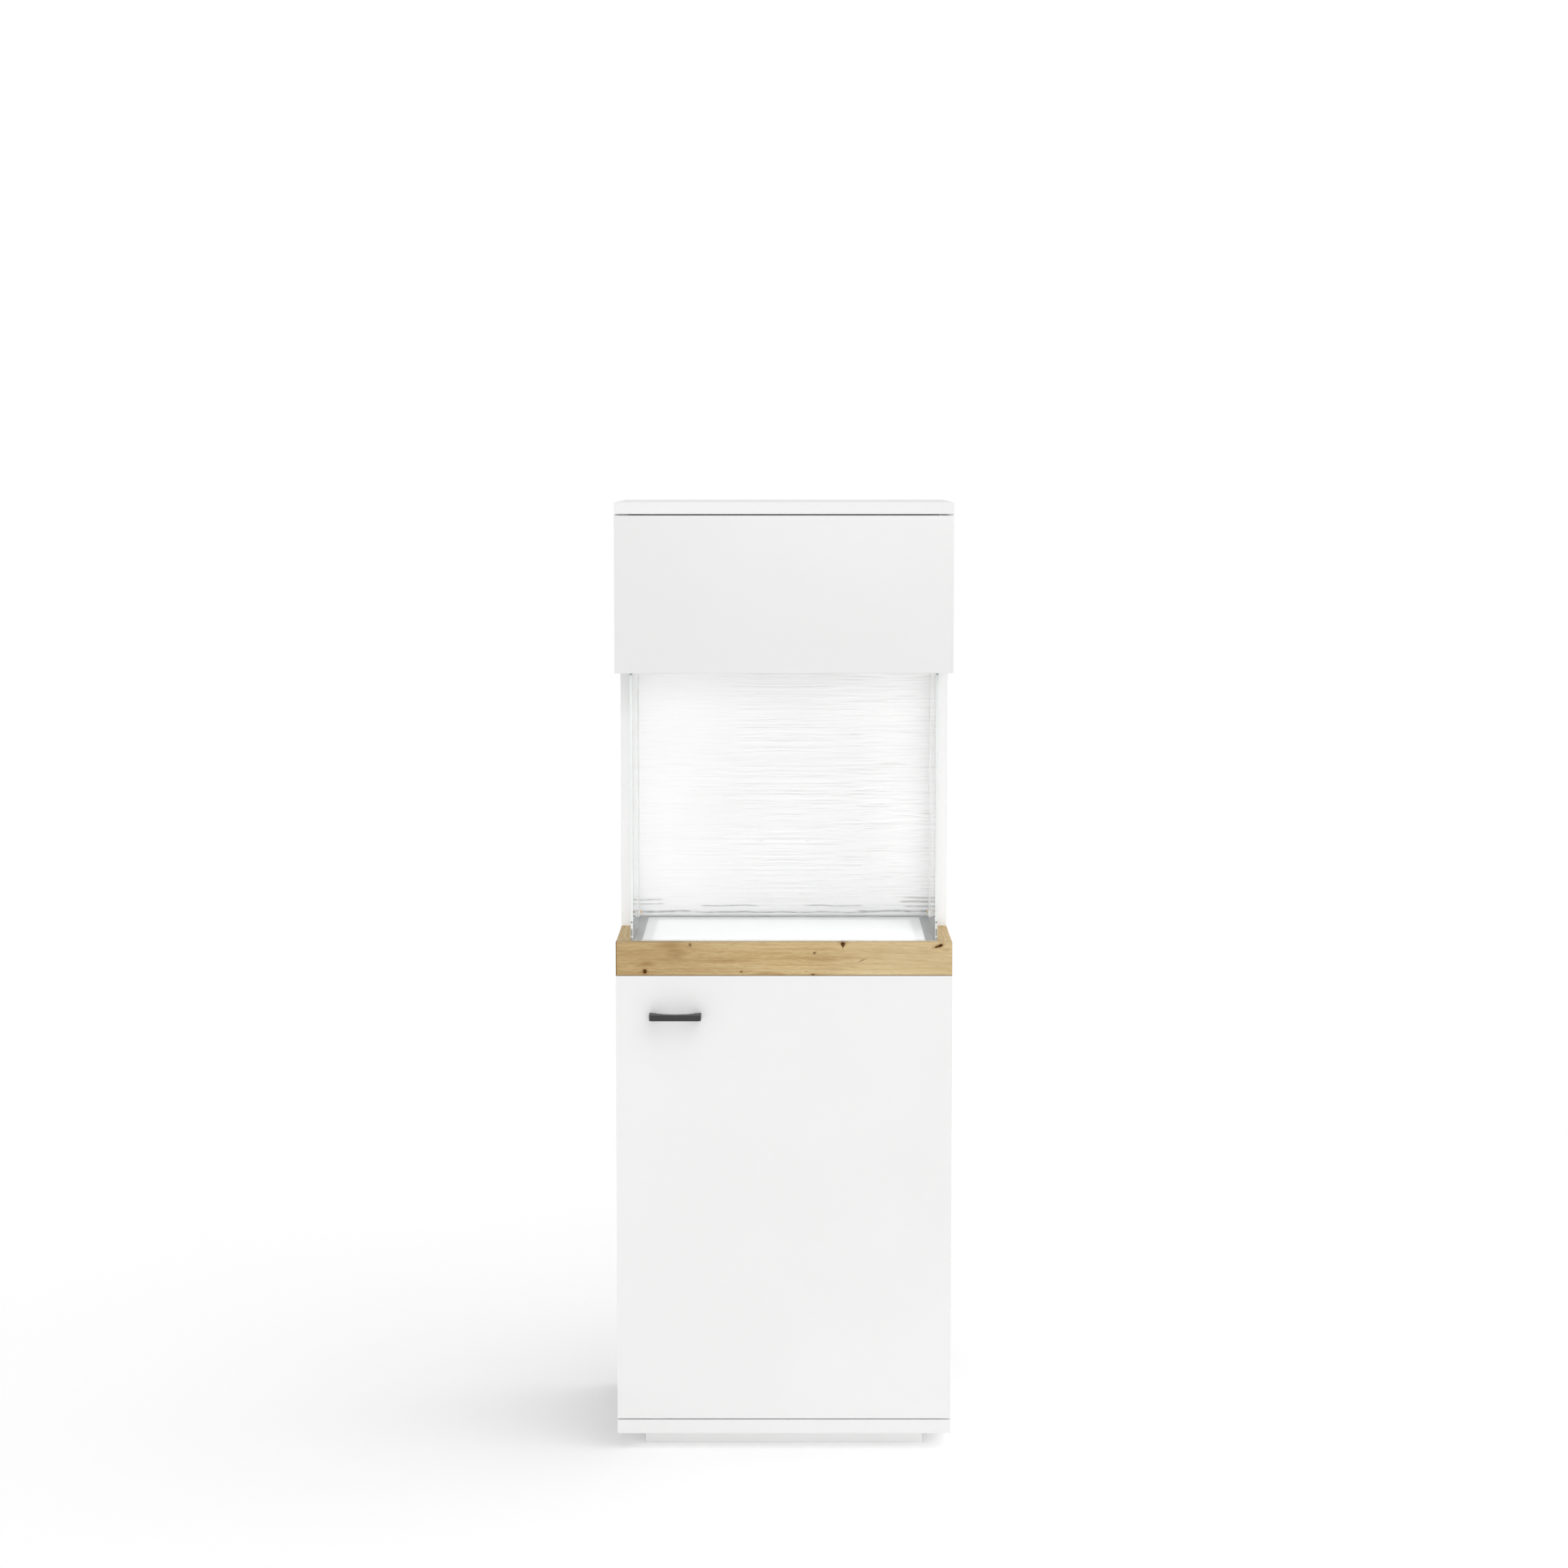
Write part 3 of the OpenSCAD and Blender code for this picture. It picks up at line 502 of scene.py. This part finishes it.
GASHES = [  # from, to, height, half height, depth in mm: single deep saw marks
    (-0.2375, -0.198, 0.8205, 0.0011, 0.75), (-0.2375, -0.194, 0.8140, 0.0010, 0.60),
    (-0.140, -0.040, 0.8108, 0.0010, 0.70), (0.030, 0.132, 0.8108, 0.0010, 0.70),
    (-0.2375, -0.150, 0.8012, 0.0013, 1.00), (-0.150, 0.150, 0.8000, 0.0009, 0.80),
    (0.193, 0.2375, 0.8235, 0.0011, 0.65), (0.188, 0.2375, 0.8165, 0.0013, 0.90),
    (0.196, 0.2375, 0.8095, 0.0013, 0.90), (0.120, 0.2375, 0.8015, 0.0014, 1.10),
    (0.148, 0.206, 1.0450, 0.0010, 0.22), (0.152, 0.184, 0.8580, 0.0009, 0.20),
    (0.160, 0.196, 0.8655, 0.0008, 0.14), (0.122, 0.162, 0.9640, 0.0008, 0.12),
    (0.170, 0.222, 1.0220, 0.0008, 0.12), (0.176, 0.226, 1.1560, 0.0008, 0.14),
    (0.112, 0.172, 1.1480, 0.0008, 0.12), (0.188, 0.232, 1.0960, 0.0009, 0.14),
    (-0.005, 0.052, 1.0930, 0.0007, 0.14), (0.108, 0.124, 1.0930, 0.0008, 0.20),
    (-0.072, -0.012, 0.9375, 0.0007, 0.14), (0.012, 0.072, 0.9375, 0.0007, 0.14),
    (-0.042, -0.034, 0.9180, 0.0008, 0.30), (0.034, 0.042, 0.9180, 0.0008, 0.30),
    (-0.070, -0.022, 0.8515, 0.0007, 0.18), (0.022, 0.070, 0.8515, 0.0007, 0.18),
    (-0.036, -0.020, 0.8310, 0.0007, 0.20), (0.020, 0.036, 0.8310, 0.0007, 0.20),
    (-0.190, -0.150, 1.0440, 0.0008, 0.10), (-0.225, -0.180, 1.0820, 0.0008, 0.08),
]


def sawn(X, V, g):
    """Ridge height and liveliness of the sawn face, mirrored about the middle as a book-matched board is."""
    S, U = X * 1000.0 + 400.0, np.abs(X) * 1000.0
    W = V + 1.7 * (value_noise(U / 92 + 3, V / 66, g[0]) - 0.5)
    W = W + 1.1 * (value_noise(U / 37 + 9, V / 23, g[1]) - 0.5)
    W = W + 0.5 * (value_noise(S / 13, V / 8, g[2]) - 0.5)
    side = 0.75 * step(np.abs(X), 0.05, 0.13)
    a = value_noise(U / 150 + 2, W / 4.2, g[3]) * (1 - side) + value_noise(S / 46, W / 3.6, g[9]) * side
    b = value_noise(U / 60 + 5, W / 2.8, g[4])
    c = value_noise(U / 170, W / 11.0, g[5])
    d = value_noise(S / 20, W / 2.0, g[6])
    h = 0.85 * np.abs(2 * a - 1) ** 0.8 + 0.52 * b + 0.36 * c + 0.32 * d
    patch = value_noise(S / 70, V / 34, g[7])
    lively = (0.36 + 0.60 * step(X, -0.150, -0.03) + 0.26 * step(X, 0.06, 0.17)) * (0.70 + 0.60 * patch)
    lively = lively * (1 - 0.40 * step(V, 230.0, 380.0))
    return h, lively, patch


def relief():
    """The rough-sawn wall: a closed board whose front is cut into fine level ridges."""
    lo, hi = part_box("texture_wall")
    nx, nz = 190, 800
    xs, zs = np.linspace(lo.x, hi.x, nx), np.linspace(lo.z, hi.z, nz)
    X, Z = np.meshgrid(xs, zs, indexing="ij")
    V = (Z - lo.z) * 1000.0
    S = X * 1000.0 + 400.0
    g = [lattice(k) for k in range(11, 21)]
    h, lively, patch = sawn(X, V, g)
    # Painted shading from the ridge slopes: faces turned down are painted lighter and faces turned up darker, as
    # under the light panel below.
    lit = np.gradient(h, (zs[1] - zs[0]) * 1000.0, axis=1)
    lit = np.where(lit > 0, 0.80 * lit, 1.20 * lit)
    gash = np.zeros_like(h)
    for x0, x1, z, half, cut in GASHES:
        line = z + 0.0020 * (value_noise(S / 21, V * 0 + z * 900, g[8]) - 0.5)
        ease = min(0.012, (x1 - x0) * 0.4)
        along = step(X, x0 - 0.002, x0 + ease) if x0 > -0.236 else 1.0
        along = along * (1 - step(X, x1 - ease, x1 + 0.002)) if x1 < 0.236 else along
        rough = 0.45 + 0.8 * value_noise(S / 9, V * 0 + z * 700, g[2])
        gash = np.maximum(gash, cut * along * rough * np.exp(-((Z - line) / half) ** 2))
    depth = np.clip((2.0 - h) * 0.60 * lively + gash, 0.0, 4.0)
    # Painted light: the colour is lifted near the sides, the top and the lower corners, where the wall gets less
    # light.
    painted_rim_light = 0.05 * step(np.abs(X), 0.08, 0.235) + 0.06 * step(Z, 1.05, 1.22) + 0.04 * step(X, 0.10, 0.23)
    painted_rim_light = painted_rim_light + (0.03 + 0.04 * step(np.abs(X), 0.05, 0.22)) * (1 - step(Z, 0.80, 0.93))
    # The colour carries the painted slope shading, the painted rim light and painted shade in the deep saw marks.
    albedo = RELIEF * (1 + 0.38 * lively * lit + 0.020 * (patch - 0.5) + painted_rim_light) * np.exp(-0.85 * gash)
    tone = np.clip((albedo - 0.06) / 0.88, 0, 1)

    verts = np.stack([X, lo.y + depth * 0.001, Z], -1).reshape(-1, 3)
    idx = np.arange(nx * nz).reshape(nx, nz)
    quads = np.stack([idx[:-1, :-1], idx[1:, :-1], idx[1:, 1:], idx[:-1, 1:]], -1).reshape(-1, 4)
    rim = np.concatenate([idx[:, 0], idx[-1, 1:], idx[-2::-1, -1], idx[0, -2:0:-1]])
    back = verts[rim].copy()
    back[:, 1] = hi.y
    first = len(verts)
    faces = [tuple(int(i) for i in q) for q in quads]
    n = len(rim)
    for k in range(n):
        j = (k + 1) % n
        faces.append((int(rim[j]), int(rim[k]), first + k, first + j))
    faces.append(tuple(first + k for k in range(n - 1, -1, -1)))
    mesh = bpy.data.meshes.new("texture_wall_relief")
    mesh.from_pydata(np.concatenate([verts, back]).tolist(), [], faces)
    att = mesh.attributes.new("tone", "FLOAT", "POINT")
    att.data.foreach_set("value", np.concatenate([tone.ravel(), np.full(n, 0.9)]).astype(np.float32))
    mesh.validate()
    mesh.update()
    obj = bpy.data.objects.new("texture_wall_relief", mesh)
    settle(obj, "texture_wall", [MATS["relief_wall"]])
    mesh.shade_smooth()
    mesh.set_sharp_from_angle(angle=math.radians(60))
    return obj


for name in ("top_panel", "bottom_panel", "side_panel_left", "side_panel_right",
             "lower_door_panel", "upper_door_panel"):
    eased(name, 0.00045)
for name in ("mid_board", "hood_shelf", "lower_shelf", "light_box",
             "plinth_front", "plinth_rear", "plinth_left", "plinth_right"):
    eased(name, 0.0005, 2)
eased("back_panel", 0.0004, 2)
eased("oak_front_rail", 0.0007, 3, mats=[OAK_X])
eased("oak_rail_left", 0.0016, 4, mats=[OAK_Y])
eased("oak_rail_right", 0.0016, 4, mats=[OAK_Y])
eased("light_trim", 0.0005, 2)
eased("door_handle", 0.0010, 3, 0.0)
eased("glass_bumpers", 0.0003, 2, 0.002)
eased("glass_retainers", 0.0004, 2, 0.006)
for name, axis in (("side_glass_left", 0), ("side_glass_right", 0), ("upper_door_glass", 1)):
    pane = eased(name, 0.0003, 2, mats=[MATS["clear_glass"], EDGE], edge_axis=axis)
    pane.visible_shadow = False
relief()

for name, obj in NODES.items():
    if not obj.hide_render:
        obj.data.materials.clear()
        obj.data.materials.append(MATS[SLOT[name]])


# ------------------------------------------------------- stage, light and camera

def floor():
    t = Tree("stage_floor", Roughness=0.9, Specular_IOR_Level=0.0)
    n = t.noise(t.obj, 1.5, 2.0, 0.5)
    t.to("Base Color", t.ramp(n, [(0.3, (0.982, 0.982, 0.982, 1)), (0.7, (0.990, 0.990, 0.990, 1))]))
    bm = bmesh.new()
    bmesh.ops.create_grid(bm, x_segments=8, y_segments=8, size=30.0)
    mesh = bpy.data.meshes.new("stage_floor")
    bm.to_mesh(mesh)
    bm.free()
    mesh.materials.append(t.mat)
    obj = bpy.data.objects.new("stage_floor", mesh)
    obj.location = (0, 0, -0.00005)
    SCENE.collection.objects.link(obj)


def world():
    """A white room: even at the horizon, softer overhead and towards the right-hand wall."""
    w = bpy.data.worlds.new("studio")
    SCENE.world = w
    w.use_nodes = True
    nt = w.node_tree
    nt.nodes.clear()
    out = nt.nodes.new("ShaderNodeOutputWorld")
    bg = nt.nodes.new("ShaderNodeBackground")
    tc = nt.nodes.new("ShaderNodeTexCoord")
    sep = nt.nodes.new("ShaderNodeSeparateXYZ")
    span = nt.nodes.new("ShaderNodeMapRange")
    lp = nt.nodes.new("ShaderNodeLightPath")
    seen = nt.nodes.new("ShaderNodeMath")
    seen.operation = "MAXIMUM"
    mix = nt.nodes.new("ShaderNodeMix")
    span.interpolation_type = "SMOOTHSTEP"
    span.inputs["From Min"].default_value = 0.0
    span.inputs["From Max"].default_value = 0.9
    span.inputs["To Min"].default_value = 1.02
    span.inputs["To Max"].default_value = 0.41
    right = nt.nodes.new("ShaderNodeMapRange")
    right.interpolation_type = "SMOOTHSTEP"
    right.inputs["From Min"].default_value = 0.3
    right.inputs["From Max"].default_value = 0.9
    right.inputs["To Min"].default_value = 1.0
    right.inputs["To Max"].default_value = 0.68
    level = nt.nodes.new("ShaderNodeMath")
    level.operation = "MULTIPLY"
    nt.links.new(tc.outputs["Generated"], sep.inputs[0])
    nt.links.new(sep.outputs[2], span.inputs["Value"])
    nt.links.new(lp.outputs["Is Camera Ray"], seen.inputs[0])
    nt.links.new(lp.outputs["Is Transmission Ray"], seen.inputs[1])
    nt.links.new(seen.outputs[0], mix.inputs[0])
    nt.links.new(sep.outputs[0], right.inputs["Value"])
    nt.links.new(span.outputs[0], level.inputs[0])
    nt.links.new(right.outputs[0], level.inputs[1])
    nt.links.new(level.outputs[0], mix.inputs[2])
    mix.inputs[3].default_value = 1.02
    bg.inputs["Color"].default_value = (1, 1, 1, 1)
    nt.links.new(mix.outputs[0], bg.inputs["Strength"])
    nt.links.new(bg.outputs[0], out.inputs["Surface"])


def sun(name, towards, angle, strength):
    """A very broad, soft source: a whole wall of light on one side."""
    light = bpy.data.lights.new(name, "SUN")
    light.angle, light.energy = math.radians(angle), strength
    obj = bpy.data.objects.new(name, light)
    obj.rotation_euler = Vector(towards).to_track_quat("Z", "Y").to_euler()
    SCENE.collection.objects.link(obj)
    obj.visible_glossy = False


def panel(name, place, aim, size, watts, only, tall=None):
    """A soft box flagged off from everything but the named pieces."""
    light = bpy.data.lights.new(name, "AREA")
    light.shape, light.size, light.size_y, light.energy = "RECTANGLE", size, tall or size, watts
    obj = bpy.data.objects.new(name, light)
    obj.location = place
    obj.rotation_euler = (Vector(place) - Vector(aim)).to_track_quat("Z", "Y").to_euler()
    SCENE.collection.objects.link(obj)
    lit = bpy.data.collections.new(name + "_lit")
    for piece in only:
        lit.objects.link(bpy.data.objects[piece])
    obj.light_linking.receiver_collection = lit
    obj.visible_glossy = obj.visible_camera = obj.visible_transmission = False


def spare(light_name, *pieces):
    """Keeps a light off the named pieces."""
    off = bpy.data.collections.new(light_name + "_off")
    for piece in pieces:
        off.objects.link(bpy.data.objects[piece])
    for link in off.collection_objects:
        link.light_linking.link_state = "EXCLUDE"
    bpy.data.objects[light_name].light_linking.receiver_collection = off


WALL = ["texture_wall_relief"]
CHEEKS = ["side_panel_left_finish", "side_panel_right_finish"]
PLINTH = ["plinth_front_finish"]
FLOOR = ["stage_floor"]
HOOD = ["upper_door_panel_finish"]
floor()
world()
sun("key", (0.42, -0.16, 0.90), 80.0, 1.70)
sun("front_fill", (0.10, -1.0, 0.10), 18.0, 0.52)
spare("front_fill", *HOOD)
panel("hood_soft", (0.35, -0.75, 1.95), (0.0, -0.186, 1.36), 0.5, 1.5, HOOD)
panel("wall_right", (2.3, -2.3, 1.10), (0.0, 0.18, 1.00), 1.4, 2.6, WALL)
panel("wall_left", (-2.3, -2.3, 1.10), (0.0, 0.18, 0.96), 1.4, 1.6, WALL)
panel("wall_top_right", (0.17, -0.06, 1.195), (0.20, 0.18, 1.10), 0.12, 0.26, WALL)
panel("wall_top_left", (-0.17, -0.06, 1.195), (-0.20, 0.18, 1.10), 0.12, 0.26, WALL)
for side, edge, inner in ((-1, 0.011, 0.080), (1, 0.021, 0.125)):
    tag = "left" if side < 0 else "right"
    panel("wall_edge_" + tag, (side * 0.220, 0.090, 0.91), (side * 0.220, 0.180, 0.91), 0.02, edge, WALL, 0.22)
    panel("cheek_inner_" + tag, (side * 0.130, 0.092, 1.00), (side * 0.238, 0.092, 1.00), 0.02, inner, CHEEKS, 0.40)
panel("wall_low", (-0.03, 0.03, 0.86), (-0.03, 0.18, 0.90), 0.36, 0.040, WALL, 0.05)
panel("cheek_left_low", (0.16, -3.4, 0.90), (-0.25, 0.01, 1.00), 0.5, 15.0, CHEEKS[:1])
panel("cheek_left_high", (0.16, -3.2, 2.30), (-0.25, 0.01, 1.00), 0.5, 15.0, CHEEKS[:1])
panel("cheek_right_low", (0.16, -3.4, 0.80), (0.25, 0.01, 1.05), 0.5, 28.0, CHEEKS[1:])
panel("plinth_front_soft", (0.40, -1.1, 0.035), (0.0, -0.11, 0.013), 0.5, 1.1, PLINTH, 0.05)
panel("foot_front", (0.0, -0.150, 0.024), (0.0, -0.150, 0.0), 0.44, 0.030, FLOOR, 0.07)
panel("foot_right", (0.238, 0.0, 0.024), (0.238, 0.0, 0.0), 0.042, 0.012, FLOOR, 0.37)
panel("foot_left", (-0.238, 0.0, 0.024), (-0.238, 0.0, 0.0), 0.042, 0.011, FLOOR, 0.37)

cam = bpy.data.cameras.new("camera")
cam.lens, cam.sensor_width = 80.98, 36.0
cam_obj = bpy.data.objects.new("camera", cam)
cam_obj.location = (0.0, -5.586, 1.538)
cam_obj.rotation_euler = (math.radians(90 - 5.213), 0, 0)
SCENE.collection.objects.link(cam_obj)
SCENE.camera = cam_obj
SCENE.view_settings.view_transform = "Standard"
SCENE.view_settings.look = "None"
